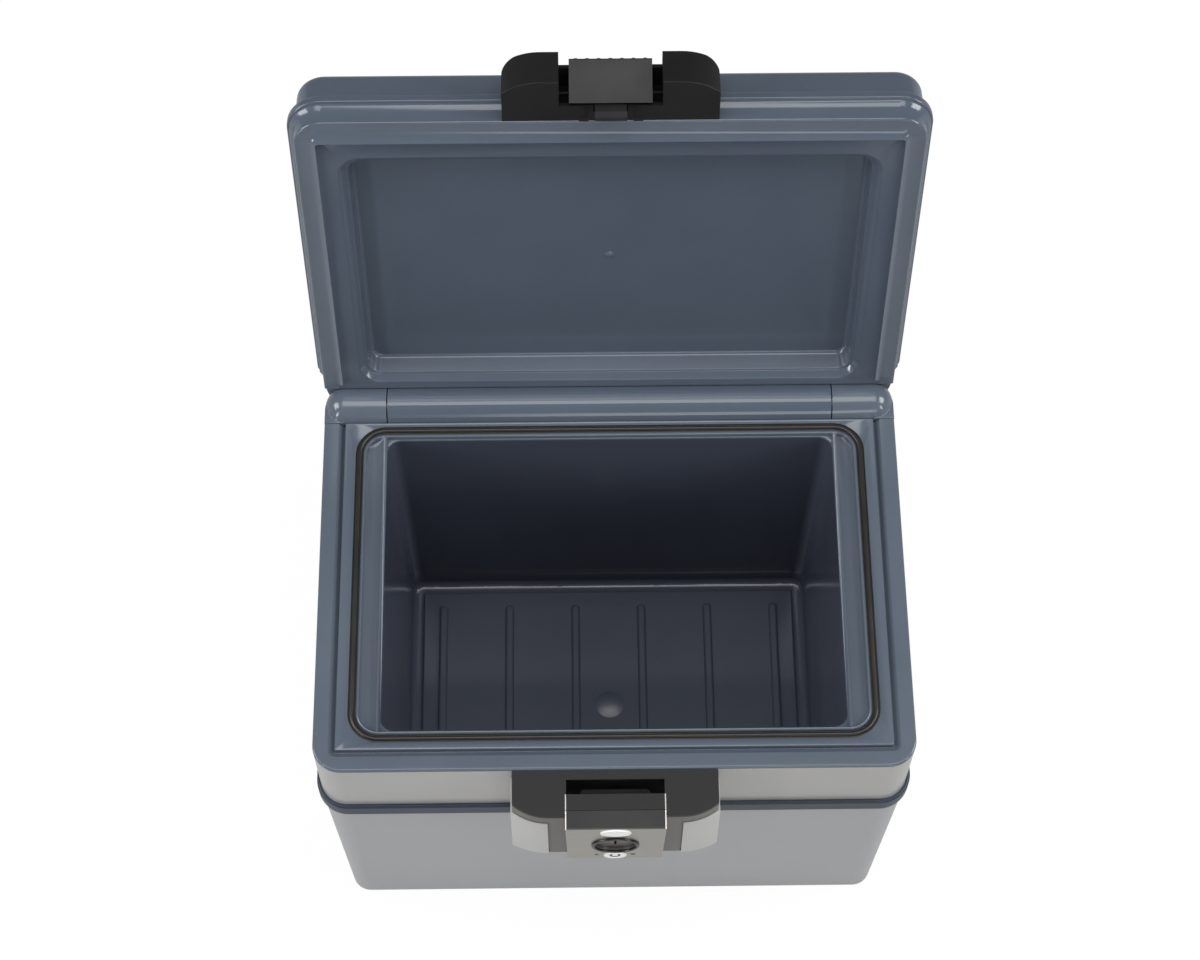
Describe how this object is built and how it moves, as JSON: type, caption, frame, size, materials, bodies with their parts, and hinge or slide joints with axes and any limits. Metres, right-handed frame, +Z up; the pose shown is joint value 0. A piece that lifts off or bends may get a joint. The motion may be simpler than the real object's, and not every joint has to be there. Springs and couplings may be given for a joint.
{
  "type": "lidded fire resistant document chest",
  "caption": "Portable fire resistant document chest with a deep pocket, a hinged insulated lid, a sprung thumb latch and a front key lock.",
  "frame": {"origin": "middle of the flat underside that the chest stands on", "axes": "+X to the right as the user sees the front, +Y to the hinged back, +Z up"},
  "size_m": [0.41, 0.4188, 0.5714],
  "materials": {
    "liner_blue": "satin moulded slate blue",
    "shell_blue": "satin slate blue",
    "band_silver": "satin silver",
    "tub_silver": "satin silver grey",
    "insulation_fill": "cast mineral fill",
    "gasket_rubber": "matt black",
    "steel": "plain turned steel",
    "housing_black": "fine grained black",
    "cover_silver": "dark silver paint",
    "pad_silver": "light silver paint",
    "panel_silver": "satin nickel",
    "screw_steel": "zinc plated",
    "key_chrome": "bright",
    "badge_white": "bare light plate",
    "lock_zinc": "die cast grey"
  },
  "bodies": {
    "chest": {"lower_tub": "tub_silver", "flange_collar": "shell_blue", "upper_band": "band_silver", "deck_liner": "liner_blue", "body_insulation": "insulation_fill", "rim_gasket": "gasket_rubber", "hinge_pins": "steel", "lock_housing": "housing_black", "lock_cover": "cover_silver", "lock_pads": "pad_silver", "lock_screws": "screw_steel", "lock_panel": "housing_black", "panel_cover": "panel_silver", "keeper_plate": "steel", "key_ring": "key_chrome", "lock_barrel": "lock_zinc", "barrel_nut": "steel", "badge_plate": "badge_white", "lock_dot": "badge_white"},
    "lid": {"lid_shell": "shell_blue", "lid_liner": "liner_blue", "lid_insulation": "insulation_fill", "latch_housing": "housing_black", "latch_screws": "screw_steel", "latch_pin": "steel", "latch_spring": "steel"},
    "lever": {"latch_lever": "housing_black"},
    "key": {"key_plug": "key_chrome", "lock_cam": "steel", "cam_nut": "steel"}
  },
  "joints": [
    {"name": "lid_hinge", "type": "hinge", "parent": "chest", "child": "lid", "pos_m": [0, 0.129, 0.2735], "axis": [1, 0, 0], "range_deg": [0, 101.4]},
    {"name": "latch_press", "type": "hinge", "parent": "lid", "child": "lever", "pos_m": [0, 0.20112, 0.55275], "axis": [1, 0, 0], "range_deg": [0, 10], "stiffness_Nm_per_rad": 0.2, "springref_deg": -20.05},
    {"name": "key_turn", "type": "hinge", "parent": "chest", "child": "key", "pos_m": [0, -0.18268, 0.238], "axis": [0, -0.9987, -0.0506], "range_deg": [0, 90]}
  ]
}
